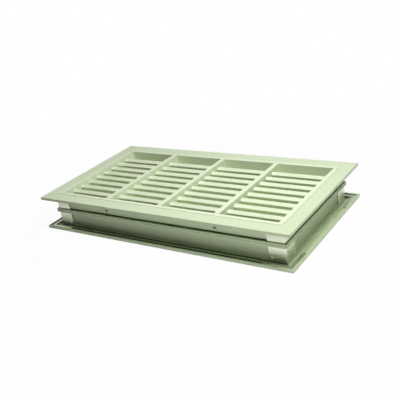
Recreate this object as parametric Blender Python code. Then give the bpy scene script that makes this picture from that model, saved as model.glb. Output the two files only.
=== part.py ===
"""Fire-rated vent grille: two cover frames that clamp a door leaf, round a core of leaning slats.

The grille lies on the face of its counter frame. The origin is at the middle of that face, X runs
along the long side, Y from front to rear, and Z up to the slatted face. Lengths are in metres.

Sections of the frame bars are drawn as (inward, depth) points: inward is the distance from the
outer edge of the flange, and depth is the distance from the outer face of the frame.
"""

import math

import bmesh
import bpy
from mathutils import Matrix, Vector

# Driving dimensions
OUTER_LENGTH = 0.400
OUTER_DEPTH = 0.210
LEAF_SPACE = 0.0416
CLEARANCE = 0.0003
MITRE_GAP = 0.0003

# Flange section, the same on both frames
FLANGE_WIDTH = 0.018
FLANGE_PLATE = 0.0015
LIP_HEIGHT = 0.0042
LIP_THICKNESS = 0.0025
EDGE_CHAMFER = 0.0004
RIB_INSET = 0.008
RIB_THICKNESS = 0.0015
RIB_HEIGHT = 0.0018
NECK_THICKNESS = 0.0014
LEDGE_WIDTH = 0.0017
LEDGE_HEIGHT = 0.0012

# Counter frame: its neck carries a rim channel that faces the face frame
COUNTER_NECK_HEIGHT = 0.0283
RIM_INSET = 0.013
RIM_DEPTH = 0.0058
RIM_THICKNESS = 0.0012
RIM_GROOVE_DROP = 0.0028
RIM_GROOVE_WIDTH = 0.0008
RIM_GROOVE_CUT = 0.0004
NECK_SHADOW_GAP = 0.0013

# Corner brackets round the necks, and flat cleats behind the flanges
BRACKET_THICKNESS = 0.0014
BRACKET_LEG = 0.0236
BRACKET_BEND_STEPS = 4
COUNTER_BRACKET_HEADROOM = 0.0015
FACE_BRACKET_HEADROOM = 0.0033
CLEAT_THICKNESS = 0.0012
CLEAT_LEG = 0.040
CLEAT_END_CHAMFER = 0.0008
STAKE_RADIUS = 0.0020
STAKE_FLOOR_RADIUS = 0.0011
STAKE_DEPTH = 0.0006
STAKE_FROM_END = 0.0045
STAKE_FROM_EDGE = 0.0045
STAKE_SIDES = 16

# Core: two hollow rails, two end bars, three mullions and the slats
BORDER_PROUD = 0.0002
CORE_HEIGHT = 0.0404
RAIL_WIDTH = 0.0057
END_BAR_WIDTH = 0.0067
RAIL_WALL = 0.0012
MULLION_COUNT = 3
MULLION_WIDTH = 0.0070
SLAT_COUNT = 8
SLAT_THICKNESS = 0.0067
SLAT_LEAN = math.radians(22.0)
SLAT_RECESS = 0.0072
SLAT_FOOT_MARGIN = 0.0029
SLAT_FRONT_GAP = 0.0170
SLAT_REAR_GAP = 0.0051
SLAT_WALL = 0.0010
SLAT_CORNER_RADIUS = 0.0010
SLAT_SEAT = 0.0030
SLAT_CORNER_STEPS = 3

# Screws that tie neck, rail and mullion together
SCREW_FROM_NECK_FOOT = 0.0059
SCREW_HEAD_RADIUS = 0.0024
SCREW_HEAD_HEIGHT = 0.0013
SCREW_SHANK_RADIUS = 0.0014
SCREW_LENGTH = 0.0145
SCREW_TIP_LENGTH = 0.0020
SCREW_CROWN_RADIUS = 0.0014
SCREW_CROWN_DROP = 0.0002
SCREW_RIM_HEIGHT = 0.0004
SCREW_SIDES = 16

# Mesh settings
SMOOTH_ANGLE = math.radians(40.0)
MERGE_DISTANCE = 0.00001

# Levels and insets worked out from the dimensions above
FACE_LEVEL = 2 * LIP_HEIGHT + LEAF_SPACE
CORE_TOP = FACE_LEVEL + BORDER_PROUD
CORE_FOOT = CORE_TOP - CORE_HEIGHT
NECK_INSET = FLANGE_WIDTH - NECK_THICKNESS
BRACKET_INSET = NECK_INSET - CLEARANCE - BRACKET_THICKNESS
RIM_FOOT = COUNTER_NECK_HEIGHT - RIM_DEPTH
RIM_FLOOR_TOP = RIM_FOOT + RIM_THICKNESS
FACE_NECK_FOOT = COUNTER_NECK_HEIGHT + NECK_SHADOW_GAP
LEDGE_TOP = FLANGE_PLATE + LEDGE_HEIGHT
COUNTER_BRACKET_FOOT = LEDGE_TOP + CLEARANCE
COUNTER_BRACKET_HEIGHT = RIM_FOOT - COUNTER_BRACKET_HEADROOM - COUNTER_BRACKET_FOOT
FACE_BRACKET_FOOT = RIM_FLOOR_TOP + CLEARANCE
FACE_BRACKET_HEIGHT = FACE_LEVEL - LEDGE_TOP - FACE_BRACKET_HEADROOM - FACE_BRACKET_FOOT
CORE_INSET = FLANGE_WIDTH + CLEARANCE
OPENING_LENGTH = OUTER_LENGTH - 2 * (CORE_INSET + END_BAR_WIDTH)
OPENING_DEPTH = OUTER_DEPTH - 2 * (CORE_INSET + RAIL_WIDTH)
CORE_CROSS_DEPTH = OPENING_DEPTH - 2 * CLEARANCE
SLAT_TIP_LEVEL = CORE_TOP - SLAT_RECESS
SLAT_HEIGHT = (SLAT_TIP_LEVEL - CORE_FOOT - SLAT_FOOT_MARGIN) / math.cos(SLAT_LEAN)
SLAT_FOOTPRINT = SLAT_HEIGHT * math.sin(SLAT_LEAN) + SLAT_THICKNESS * math.cos(SLAT_LEAN)
SLAT_PITCH = (OPENING_DEPTH - SLAT_FRONT_GAP - SLAT_FOOTPRINT - SLAT_REAR_GAP) / (SLAT_COUNT - 1)
SLAT_LENGTH = OPENING_LENGTH + 2 * SLAT_SEAT
MULLION_PITCH = (OPENING_LENGTH + MULLION_WIDTH) / (MULLION_COUNT + 1)
SCREW_LEVEL = FACE_NECK_FOOT + SCREW_FROM_NECK_FOOT
HOLE_RADIUS = SCREW_SHANK_RADIUS + CLEARANCE

# Each side as name, side length, turn about Z, and where its outer edge lies
SIDES = (
    ("front", OUTER_LENGTH, 0.0, (0.0, -OUTER_DEPTH / 2)),
    ("right", OUTER_DEPTH, math.pi / 2, (OUTER_LENGTH / 2, 0.0)),
    ("rear", OUTER_LENGTH, math.pi, (0.0, OUTER_DEPTH / 2)),
    ("left", OUTER_DEPTH, -math.pi / 2, (-OUTER_LENGTH / 2, 0.0)),
)

# Each corner as name, turn about Z, and the signs of its X and Y
CORNERS = (
    ("front_left", 0.0, (-1, -1)),
    ("front_right", math.pi / 2, (1, -1)),
    ("rear_right", math.pi, (1, 1)),
    ("rear_left", -math.pi / 2, (-1, 1)),
)


def clear_scene():
    """Remove the objects that the scene starts with."""
    for thing in list(bpy.data.objects):
        bpy.data.objects.remove(thing)


def make_material(name, colour, roughness, metallic):
    """Return a Principled material of one colour."""
    material = bpy.data.materials.new(name)
    material.use_nodes = True
    shader = material.node_tree.nodes["Principled BSDF"]
    shader.inputs["Base Color"].default_value = (*colour, 1.0)
    shader.inputs["Roughness"].default_value = roughness
    shader.inputs["Metallic"].default_value = metallic
    material.diffuse_color = (*colour, 1.0)
    return material


def make_empty(name):
    """Return an empty at the origin, to carry the pieces of one half."""
    empty = bpy.data.objects.new(name, None)
    bpy.context.collection.objects.link(empty)
    return empty


def place(name, mesh, finish, half, location=(0.0, 0.0, 0.0), lean=0.0, turn=0.0):
    """Add a mesh as a named object: leant about X, turned about Z, and carried by one half."""
    piece = bpy.data.objects.new(name, mesh)
    bpy.context.collection.objects.link(piece)
    if not mesh.materials:
        mesh.materials.append(finish)
    piece.location = location
    piece.rotation_euler = (lean, 0.0, turn)
    piece.parent = half
    return piece


def finish_mesh(bm, name):
    """Point the faces outwards and return the shape as a mesh."""
    bmesh.ops.recalc_face_normals(bm, faces=bm.faces)
    mesh = bpy.data.meshes.new(name)
    bm.to_mesh(mesh)
    bm.free()
    return mesh


def extrude_loops(bm, outline, offset, hollow=None):
    """Extrude an outline by offset; a hollow outline with as many points makes it a tube."""
    outer = [bm.verts.new(point) for point in outline]
    if hollow is None:
        faces = [bm.faces.new(outer)]
    else:
        inner = [bm.verts.new(point) for point in hollow]
        faces = []
        for index, corner in enumerate(outer):
            following = (index + 1) % len(outer)
            faces.append(bm.faces.new((corner, outer[following], inner[following], inner[index])))
    grown = bmesh.ops.extrude_face_region(bm, geom=faces)
    moved = [item for item in grown["geom"] if isinstance(item, bmesh.types.BMVert)]
    bmesh.ops.translate(bm, verts=moved, vec=offset)
    return moved


def carve(mesh, cutter):
    """Return the mesh with the cutter's volume taken out of it."""
    body = bpy.data.objects.new("body", mesh)
    tool = bpy.data.objects.new("tool", cutter)
    for thing in (body, tool):
        bpy.context.collection.objects.link(thing)
    cut = body.modifiers.new("cut", "BOOLEAN")
    cut.operation = "DIFFERENCE"
    cut.object = tool
    bpy.context.view_layer.update()
    seen = body.evaluated_get(bpy.context.evaluated_depsgraph_get())
    carved = bpy.data.meshes.new_from_object(seen)
    for thing in (body, tool):
        bpy.data.objects.remove(thing)
    return carved


def rounded_rectangle(width, height, radius, steps):
    """Return points round a rectangle centred on 0, its corners as arcs."""
    points = []
    for quarter, (sx, sy) in enumerate(((1, 1), (-1, 1), (-1, -1), (1, -1))):
        middle = Vector((sx * (width / 2 - radius), sy * (height / 2 - radius)))
        for step in range(steps + 1):
            angle = (quarter + step / steps) * math.pi / 2
            points.append(middle + radius * Vector((math.cos(angle), math.sin(angle))))
    return points


def box_mesh(name, low, high):
    """Return a plain block between two corners."""
    bm = bmesh.new()
    size = Vector(high) - Vector(low)
    scale = Matrix.Diagonal((*size, 1.0))
    bmesh.ops.create_cube(bm, size=1.0, matrix=Matrix.Translation((Vector(low) + Vector(high)) / 2) @ scale)
    return finish_mesh(bm, name)


def flange_section():
    """Return the flange's outline from the opening's edge round the outer lip to the rib's root."""
    rib_end = RIB_INSET + RIB_THICKNESS
    rib_top = FLANGE_PLATE + RIB_HEIGHT
    return [
        (FLANGE_WIDTH, 0.0),
        (EDGE_CHAMFER, 0.0),
        (0.0, EDGE_CHAMFER),
        (0.0, LIP_HEIGHT - EDGE_CHAMFER),
        (EDGE_CHAMFER, LIP_HEIGHT),
        (LIP_THICKNESS - EDGE_CHAMFER, LIP_HEIGHT),
        (LIP_THICKNESS, LIP_HEIGHT - EDGE_CHAMFER),
        (LIP_THICKNESS, FLANGE_PLATE),
        (RIB_INSET, FLANGE_PLATE),
        (RIB_INSET, rib_top),
        (rib_end, rib_top),
        (rib_end, FLANGE_PLATE),
        (NECK_INSET - LEDGE_WIDTH, FLANGE_PLATE),
    ]


def counter_section():
    """Return the counter frame's section: flange, bracket ledge, rim channel and neck."""
    rim_lip = RIM_INSET + RIM_THICKNESS
    groove = COUNTER_NECK_HEIGHT - RIM_GROOVE_DROP
    return flange_section() + [
        (NECK_INSET - LEDGE_WIDTH, LEDGE_TOP),
        (NECK_INSET, LEDGE_TOP),
        (NECK_INSET, RIM_FOOT),
        (RIM_INSET + EDGE_CHAMFER, RIM_FOOT),
        (RIM_INSET, RIM_FOOT + EDGE_CHAMFER),
        (RIM_INSET, groove - RIM_GROOVE_WIDTH / 2),
        (RIM_INSET + RIM_GROOVE_CUT, groove),
        (RIM_INSET, groove + RIM_GROOVE_WIDTH / 2),
        (RIM_INSET, COUNTER_NECK_HEIGHT - EDGE_CHAMFER),
        (RIM_INSET + EDGE_CHAMFER, COUNTER_NECK_HEIGHT),
        (rim_lip, COUNTER_NECK_HEIGHT),
        (rim_lip, RIM_FLOOR_TOP),
        (NECK_INSET, RIM_FLOOR_TOP),
        (NECK_INSET, COUNTER_NECK_HEIGHT),
        (FLANGE_WIDTH, COUNTER_NECK_HEIGHT),
    ]


def face_section():
    """Return the face frame's section: flange, ledge and plain neck."""
    neck_end = FACE_LEVEL - FACE_NECK_FOOT
    return flange_section() + [
        (NECK_INSET - LEDGE_WIDTH, LEDGE_TOP),
        (NECK_INSET, LEDGE_TOP),
        (NECK_INSET, neck_end),
        (FLANGE_WIDTH, neck_end),
    ]


def mitred_bar(name, side_length, section, depth_sign):
    """Return a bar along X, its outer edge on Y = 0 and both ends cut to the mitre."""
    half = side_length / 2 - MITRE_GAP / math.sqrt(2)
    bm = bmesh.new()
    outline = [(inward - half, inward, depth_sign * depth) for inward, depth in section]
    for corner in extrude_loops(bm, outline, Vector((side_length, 0.0, 0.0))):
        corner.co.x = half - corner.co.y
    return finish_mesh(bm, name)


def screw_hole_cutter(reach):
    """Return rods that drill the neck bar or rail at the outer mullions, from Y = 0 inwards."""
    bm = bmesh.new()
    for x in screw_places():
        rod(bm, Vector((x, 0.0, 0.0)), HOLE_RADIUS, reach)
    return finish_mesh(bm, "screw_holes")


def rod(bm, start, radius, length):
    """Add a round rod that runs from start along +Y."""
    upright = Matrix.Rotation(-math.pi / 2, 4, "X")
    middle = Matrix.Translation(start + Vector((0.0, length / 2, 0.0)))
    bmesh.ops.create_cone(bm, cap_ends=True, segments=SCREW_SIDES, radius1=radius, radius2=radius,
                          depth=length, matrix=middle @ upright)


def mullion_places():
    """Return the X of each mullion's middle."""
    first = -MULLION_PITCH * (MULLION_COUNT - 1) / 2
    return [first + MULLION_PITCH * index for index in range(MULLION_COUNT)]


def screw_places():
    """Return the X of the two outer mullions, which the screws reach."""
    places = mullion_places()
    return [places[0], places[-1]]


def slat_places():
    """Return the middle of each slat's section in Y and Z, from the rear slat to the front one."""
    across = Vector((0.0, math.cos(SLAT_LEAN), math.sin(SLAT_LEAN)))
    down = Vector((0.0, math.sin(SLAT_LEAN), -math.cos(SLAT_LEAN)))
    rear_tip = OPENING_DEPTH / 2 - SLAT_REAR_GAP - SLAT_FOOTPRINT
    middles = []
    for index in range(SLAT_COUNT):
        tip = Vector((0.0, rear_tip - SLAT_PITCH * index, SLAT_TIP_LEVEL))
        middles.append(tip + across * SLAT_THICKNESS / 2 + down * SLAT_HEIGHT / 2)
    return middles


def slat_outline(grow, x):
    """Return the slat's rounded section in the plane at x, grown or shrunk all round by grow."""
    radius = max(SLAT_CORNER_RADIUS + grow, SLAT_CORNER_RADIUS / 4)
    points = rounded_rectangle(SLAT_THICKNESS + 2 * grow, SLAT_HEIGHT + 2 * grow, radius, SLAT_CORNER_STEPS)
    return [Vector((x, point.x, point.y)) for point in points]


def slat_window_cutter(low_x, high_x):
    """Return a leaning block round each slat, with clearance, from low_x to high_x."""
    bm = bmesh.new()
    for middle in slat_places():
        pose = Matrix.Translation(middle) @ Matrix.Rotation(SLAT_LEAN, 4, "X")
        outline = [pose @ point for point in slat_outline(CLEARANCE, low_x)]
        extrude_loops(bm, outline, Vector((high_x - low_x, 0.0, 0.0)))
    return finish_mesh(bm, "slat_windows")


def build_frame(prefix, section, level, depth_sign, finish, half):
    """Build the four mitred bars of one frame."""
    for side, side_length, turn, (x, y) in SIDES:
        name = f"{prefix}_bar_{side}"
        mesh = mitred_bar(name, side_length, section, depth_sign)
        if prefix == "face" and side in ("front", "rear"):
            holes = screw_hole_cutter(FLANGE_WIDTH + CLEARANCE)
            holes.transform(Matrix.Translation((0.0, 0.0, SCREW_LEVEL - level)))
            mesh = carve(mesh, holes)
        place(name, mesh, finish, half, location=(x, y, level), turn=turn)


def stake_cutter(spots, normal):
    """Return tapered punches that dimple a face at each spot, along its inward normal."""
    bm = bmesh.new()
    swing = Vector((0.0, 0.0, 1.0)).rotation_difference(Vector(normal)).to_matrix().to_4x4()
    for spot in spots:
        taper = (STAKE_RADIUS - STAKE_FLOOR_RADIUS) / STAKE_DEPTH
        start = Matrix.Translation(Vector(spot))
        bmesh.ops.create_cone(bm, cap_ends=True, segments=STAKE_SIDES,
                              radius1=STAKE_RADIUS + taper * STAKE_DEPTH, radius2=STAKE_FLOOR_RADIUS,
                              depth=2 * STAKE_DEPTH, matrix=start @ swing)
    return finish_mesh(bm, "stakes")


def bracket_mesh(name, height, stake_levels):
    """Return an angle strip bent round a neck corner at the origin, legs along +X and +Y."""
    bend = [Vector((BRACKET_THICKNESS, BRACKET_THICKNESS, 0.0))
            - BRACKET_THICKNESS * Vector((math.cos(angle), math.sin(angle), 0.0))
            for angle in (math.pi / 2 * (1 - step / BRACKET_BEND_STEPS)
                          for step in range(BRACKET_BEND_STEPS + 1))]
    outline = bend + [
        Vector((0.0, BRACKET_LEG, 0.0)),
        Vector((BRACKET_THICKNESS, BRACKET_LEG, 0.0)),
        Vector((BRACKET_THICKNESS, BRACKET_THICKNESS, 0.0)),
        Vector((BRACKET_LEG, BRACKET_THICKNESS, 0.0)),
        Vector((BRACKET_LEG, 0.0, 0.0)),
    ]
    bm = bmesh.new()
    extrude_loops(bm, outline, Vector((0.0, 0.0, height)))
    mesh = finish_mesh(bm, name)
    along = BRACKET_LEG - STAKE_FROM_END
    mesh = carve(mesh, stake_cutter([(along, 0.0, level) for level in stake_levels], (0, 1, 0)))
    return carve(mesh, stake_cutter([(0.0, along, level) for level in stake_levels], (1, 0, 0)))


def build_corner_pieces(prefix, mesh, inset, level, finish, half):
    """Place one copy of a corner piece at each corner, inset from both outer edges."""
    for corner, turn, (sx, sy) in CORNERS:
        spot = (sx * (OUTER_LENGTH / 2 - inset), sy * (OUTER_DEPTH / 2 - inset), level)
        place(f"{prefix}_{corner}", mesh, finish, half, location=spot, turn=turn)


def cleat_mesh(name, staked_side):
    """Return a flat L plate with its outer corner at the origin, staked on one side."""
    width = RIB_INSET - LIP_THICKNESS - 2 * CLEARANCE
    outline = [
        (CLEAT_END_CHAMFER, 0.0, 0.0),
        (CLEAT_LEG - CLEAT_END_CHAMFER, 0.0, 0.0),
        (CLEAT_LEG, CLEAT_END_CHAMFER, 0.0),
        (CLEAT_LEG, width - CLEAT_END_CHAMFER, 0.0),
        (CLEAT_LEG - CLEAT_END_CHAMFER, width, 0.0),
        (width, width, 0.0),
        (width, CLEAT_LEG - CLEAT_END_CHAMFER, 0.0),
        (width - CLEAT_END_CHAMFER, CLEAT_LEG, 0.0),
        (CLEAT_END_CHAMFER, CLEAT_LEG, 0.0),
        (0.0, CLEAT_LEG - CLEAT_END_CHAMFER, 0.0),
        (0.0, CLEAT_END_CHAMFER, 0.0),
    ]
    bm = bmesh.new()
    extrude_loops(bm, [Vector(point) for point in outline], Vector((0.0, 0.0, CLEAT_THICKNESS)))
    mesh = finish_mesh(bm, name)
    along = CLEAT_LEG - STAKE_FROM_END
    level = CLEAT_THICKNESS if staked_side > 0 else 0.0
    spots = [(along, width / 2, level), (width / 2, along, level)]
    return carve(mesh, stake_cutter(spots, (0, 0, -staked_side)))


def build_counter_half(half, painted, bare):
    """Build the frame that the grille rests on, with its brackets and cleats."""
    build_frame("counter", counter_section(), 0.0, 1, painted, half)
    stakes = (STAKE_FROM_EDGE, COUNTER_BRACKET_HEIGHT - STAKE_FROM_EDGE)
    bracket = bracket_mesh("counter_bracket", COUNTER_BRACKET_HEIGHT, stakes)
    build_corner_pieces("counter_bracket", bracket, BRACKET_INSET, COUNTER_BRACKET_FOOT, bare, half)
    cleat = cleat_mesh("counter_cleat", 1)
    cleat_level = FLANGE_PLATE + CLEARANCE
    build_corner_pieces("counter_cleat", cleat, LIP_THICKNESS + CLEARANCE, cleat_level, bare, half)


def build_face_frame(half, painted, bare):
    """Build the frame round the slatted face, with its brackets and cleats."""
    build_frame("face", face_section(), FACE_LEVEL, -1, painted, half)
    bracket = bracket_mesh("face_bracket", FACE_BRACKET_HEIGHT, (FACE_BRACKET_HEIGHT / 2,))
    build_corner_pieces("face_bracket", bracket, BRACKET_INSET, FACE_BRACKET_FOOT, bare, half)
    cleat = cleat_mesh("face_cleat", -1)
    cleat_level = FACE_LEVEL - FLANGE_PLATE - CLEARANCE - CLEAT_THICKNESS
    build_corner_pieces("face_cleat", cleat, LIP_THICKNESS + CLEARANCE, cleat_level, bare, half)


def build_rails(half, plastic, swelling):
    """Build the front and rear rails as tubes, each round a filler that swells in heat."""
    length = OUTER_LENGTH - 2 * CORE_INSET
    for side, turn, sign in (("front", 0.0, -1), ("rear", math.pi, 1)):
        tube = [(-length / 2, y, z) for y, z in ((0, 0), (RAIL_WIDTH, 0), (RAIL_WIDTH, CORE_HEIGHT),
                                                (0, CORE_HEIGHT))]
        bore = [(-length / 2, y, z) for y, z in ((RAIL_WALL, RAIL_WALL),
                                                (RAIL_WIDTH - RAIL_WALL, RAIL_WALL),
                                                (RAIL_WIDTH - RAIL_WALL, CORE_HEIGHT - RAIL_WALL),
                                                (RAIL_WALL, CORE_HEIGHT - RAIL_WALL))]
        bm = bmesh.new()
        extrude_loops(bm, tube, Vector((length, 0.0, 0.0)), hollow=bore)
        holes = screw_hole_cutter(RAIL_WIDTH + 2 * CLEARANCE)
        holes.transform(Matrix.Translation((0.0, -CLEARANCE, SCREW_LEVEL - CORE_FOOT)))
        rail = carve(finish_mesh(bm, f"core_rail_{side}"), holes)
        fill_inset = RAIL_WALL + CLEARANCE
        filler = box_mesh(f"rail_filler_{side}", (-length / 2 + CLEARANCE, fill_inset, fill_inset),
                          (length / 2 - CLEARANCE, RAIL_WIDTH - fill_inset, CORE_HEIGHT - fill_inset))
        filler = carve(filler, holes)
        spot = (0.0, sign * (OUTER_DEPTH / 2 - CORE_INSET), CORE_FOOT)
        place(f"core_rail_{side}", rail, plastic, half, location=spot, turn=turn)
        place(f"rail_filler_{side}", filler, swelling, half, location=spot, turn=turn)


def build_cross_bars(half, plastic):
    """Build the end bars with blind seats for the slats, and the mullions with through windows."""
    depth = CORE_CROSS_DEPTH
    for side, sign in (("left", -1), ("right", 1)):
        inner_x = sign * OPENING_LENGTH / 2
        outer_x = sign * (OPENING_LENGTH / 2 + END_BAR_WIDTH)
        seat_x = sign * (SLAT_LENGTH / 2 + CLEARANCE)
        block = box_mesh(f"core_end_{side}", (min(inner_x, outer_x), -depth / 2, CORE_FOOT),
                         (max(inner_x, outer_x), depth / 2, CORE_TOP))
        seats = slat_window_cutter(*sorted((inner_x - sign * CLEARANCE, seat_x)))
        place(f"core_end_{side}", carve(block, seats), plastic, half)
    for number, x in enumerate(mullion_places(), start=1):
        block = box_mesh(f"mullion_{number}", (-MULLION_WIDTH / 2, -depth / 2, CORE_FOOT),
                         (MULLION_WIDTH / 2, depth / 2, CORE_TOP))
        reach = MULLION_WIDTH / 2 + CLEARANCE
        block = carve(block, slat_window_cutter(-reach, reach))
        if x in screw_places():
            block = carve(block, mullion_hole_cutter())
        place(f"mullion_{number}", block, plastic, half, location=(x, 0.0, 0.0))


def mullion_hole_cutter():
    """Return the blind holes that take the screw tips at both ends of a mullion."""
    bm = bmesh.new()
    tip_inset = NECK_INSET + SCREW_LENGTH + CLEARANCE
    depth = tip_inset - CORE_INSET - RAIL_WIDTH
    for start_y in (-OPENING_DEPTH / 2, OPENING_DEPTH / 2 - depth):
        rod(bm, Vector((0.0, start_y, SCREW_LEVEL)), HOLE_RADIUS, depth)
    return finish_mesh(bm, "mullion_holes")


def build_slats(half, plastic, swelling):
    """Build each slat as a rounded sleeve with a strip that swells in heat inside it."""
    for number, middle in enumerate(slat_places(), start=1):
        bm = bmesh.new()
        start = -SLAT_LENGTH / 2
        extrude_loops(bm, slat_outline(0.0, start), Vector((SLAT_LENGTH, 0.0, 0.0)),
                      hollow=slat_outline(-SLAT_WALL, start))
        sleeve = finish_mesh(bm, f"slat_sleeve_{number}")
        bm = bmesh.new()
        strip_start = start + CLEARANCE
        extrude_loops(bm, slat_outline(-SLAT_WALL - CLEARANCE, strip_start),
                      Vector((SLAT_LENGTH - 2 * CLEARANCE, 0.0, 0.0)))
        strip = finish_mesh(bm, f"slat_strip_{number}")
        place(f"slat_sleeve_{number}", sleeve, plastic, half, location=middle, lean=SLAT_LEAN)
        place(f"slat_strip_{number}", strip, swelling, half, location=middle, lean=SLAT_LEAN)


def screw_mesh():
    """Return a screw turned about Z: domed head at the origin, shank and tip down -Z."""
    rise = SCREW_HEAD_HEIGHT
    profile = [
        (0.0, rise),
        (SCREW_CROWN_RADIUS, rise - SCREW_CROWN_DROP),
        (SCREW_HEAD_RADIUS, SCREW_RIM_HEIGHT),
        (SCREW_HEAD_RADIUS, 0.0),
        (SCREW_SHANK_RADIUS, 0.0),
        (SCREW_SHANK_RADIUS, SCREW_TIP_LENGTH - SCREW_LENGTH),
        (0.0, -SCREW_LENGTH),
    ]
    bm = bmesh.new()
    corners = [bm.verts.new((radius, 0.0, z)) for radius, z in profile]
    edges = [bm.edges.new(pair) for pair in zip(corners, corners[1:])]
    bmesh.ops.spin(bm, geom=edges + corners, cent=(0, 0, 0), axis=(0, 0, 1), angle=2 * math.pi,
                   steps=SCREW_SIDES, use_merge=True)
    bmesh.ops.remove_doubles(bm, verts=bm.verts, dist=MERGE_DISTANCE)
    mesh = finish_mesh(bm, "screw")
    mesh.shade_smooth()
    mesh.set_sharp_from_angle(angle=SMOOTH_ANGLE)
    return mesh


def build_screws(half, steel):
    """Place the screws through the face frame's neck, heads on its outer face."""
    mesh = screw_mesh()
    head_y = OUTER_DEPTH / 2 - NECK_INSET + CLEARANCE
    for side, sign in (("front", -1), ("rear", 1)):
        for end, x in zip(("left", "right"), screw_places()):
            place(f"neck_screw_{side}_{end}", mesh, steel, half, location=(x, sign * head_y, SCREW_LEVEL),
                  lean=-sign * math.pi / 2)


def build_grille():
    """Build both halves, each carried by its own empty on the slide's axis."""
    painted = make_material("painted_aluminium", (0.72, 0.80, 0.58), 0.45, 0.0)
    bare = make_material("bare_aluminium", (0.78, 0.80, 0.74), 0.35, 1.0)
    plastic = make_material("core_plastic", (0.74, 0.82, 0.60), 0.5, 0.0)
    swelling = make_material("swelling_filler", (0.16, 0.15, 0.14), 0.9, 0.0)
    steel = make_material("screw_steel", (0.62, 0.63, 0.60), 0.35, 1.0)
    counter_half = make_empty("counter_half")
    face_half = make_empty("face_half")
    build_counter_half(counter_half, painted, bare)
    build_face_frame(face_half, painted, bare)
    build_rails(face_half, plastic, swelling)
    build_cross_bars(face_half, plastic)
    build_slats(face_half, plastic, swelling)
    build_screws(face_half, steel)


clear_scene()
build_grille()
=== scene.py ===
"""Dress the fire-rated vent grille: shaped metalwork, leaning slats, finishes, soft light and camera.

The grille lies on its counter frame with the slats up. X runs along the long side, Y from the front
to the rear, and Z up. Lengths are in metres, and the pieces are shaped on a bench made of Blender's
own edit-mode operators and modifiers.
"""

import logging
import math
from collections.abc import Callable, Iterable, Iterator, Sequence
from contextlib import contextmanager
from dataclasses import dataclass
from enum import Enum

import bmesh
import bpy
from mathutils import Matrix, Vector


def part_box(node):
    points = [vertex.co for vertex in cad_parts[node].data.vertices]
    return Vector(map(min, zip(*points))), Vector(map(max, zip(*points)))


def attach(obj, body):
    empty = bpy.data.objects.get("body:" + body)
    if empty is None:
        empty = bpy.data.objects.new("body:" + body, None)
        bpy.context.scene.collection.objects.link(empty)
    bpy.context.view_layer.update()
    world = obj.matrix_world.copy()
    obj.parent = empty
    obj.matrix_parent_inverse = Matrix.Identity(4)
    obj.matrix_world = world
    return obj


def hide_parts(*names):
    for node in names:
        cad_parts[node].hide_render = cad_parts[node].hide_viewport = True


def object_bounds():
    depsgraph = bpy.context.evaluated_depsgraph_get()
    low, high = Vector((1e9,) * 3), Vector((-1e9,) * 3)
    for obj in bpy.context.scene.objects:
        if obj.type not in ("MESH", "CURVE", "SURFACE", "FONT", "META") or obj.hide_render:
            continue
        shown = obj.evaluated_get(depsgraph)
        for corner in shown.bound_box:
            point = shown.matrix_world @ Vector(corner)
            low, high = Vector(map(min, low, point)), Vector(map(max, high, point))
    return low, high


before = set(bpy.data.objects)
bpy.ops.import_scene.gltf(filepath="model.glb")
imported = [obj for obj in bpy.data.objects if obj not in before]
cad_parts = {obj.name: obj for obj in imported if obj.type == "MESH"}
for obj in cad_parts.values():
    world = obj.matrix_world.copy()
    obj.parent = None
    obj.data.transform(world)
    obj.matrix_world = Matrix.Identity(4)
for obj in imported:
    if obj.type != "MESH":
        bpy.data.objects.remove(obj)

CAD_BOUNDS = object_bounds()
LOG = logging.getLogger("vent_grille")

UP = Vector((0.0, 0.0, 1.0))
ENDS = ("left", "right")
# The gap that neighbours keep, and the distance under which two points are one.
CLEARANCE = 0.0003
WELD = 0.000001
# The least part of a face's normal along an axis for a face that looks that way.
FACING = 0.9
SMOOTH_ANGLE = math.radians(35.0)
ROUND_STEPS = 3
SOFT_STEPS = 2
SRGB_KNEE = 0.04045


class Half(Enum):
    """The two halves of the grille, which slide on each other to suit the door leaf."""

    COUNTER = "counter"
    FACE = "face"

    @property
    def body(self) -> str:
        """Return the name of the body that carries this half."""
        return f"{self.value}_half"

    @property
    def depth_sign(self) -> int:
        """Return which way the section's depth runs along Z."""
        return 1 if self is Half.COUNTER else -1


class Turned(Enum):
    """A place round a cover frame, whose value starts with its name and its turn about Z."""

    @property
    def label(self) -> str:
        """Return the place's name."""
        return self.value[0]

    @property
    def turn(self) -> float:
        """Return the place's turn about Z."""
        return self.value[1]


class Side(Turned):
    """A side of a cover frame, turned from the front."""

    FRONT = ("front", 0.0)
    RIGHT = ("right", math.pi / 2)
    REAR = ("rear", math.pi)
    LEFT = ("left", -math.pi / 2)

    @property
    def grain(self) -> "Grain":
        """Return which way the side's bar runs."""
        return Grain.ALONG_X if self in (Side.FRONT, Side.REAR) else Grain.ALONG_Y


class Corner(Turned):
    """A corner of a cover frame, turned from the front left, with the signs of its X and Y."""

    FRONT_LEFT = ("front_left", 0.0, -1, -1)
    FRONT_RIGHT = ("front_right", math.pi / 2, 1, -1)
    REAR_RIGHT = ("rear_right", math.pi, 1, 1)
    REAR_LEFT = ("rear_left", -math.pi / 2, -1, 1)

    def outer_point(self, low: Vector, high: Vector) -> Vector:
        """Return the outermost point of a box at this corner, at the box's foot."""
        _, _, sign_x, sign_y = self.value
        return Vector((low.x if sign_x < 0 else high.x, low.y if sign_y < 0 else high.y, low.z))


class Element(Enum):
    """What edit mode selects, as the select mode's name and the mesh's own list."""

    VERTEX = ("VERT", "verts")
    EDGE = ("EDGE", "edges")
    FACE = ("FACE", "faces")


class Grain(Enum):
    """Which way a drawn or rolled surface carries its fine lines, as a stretch of the pattern."""

    ALONG_X = (0.02, 1.0, 1.0)
    ALONG_Y = (1.0, 0.02, 1.0)

    @property
    def across(self) -> str:
        """Return the axis that runs across the lines."""
        return "Y" if self is Grain.ALONG_X else "X"


def middle_of(node: str) -> Vector:
    """Return the middle of a CAD node's box."""
    low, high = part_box(node)
    return (low + high) / 2


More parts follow.
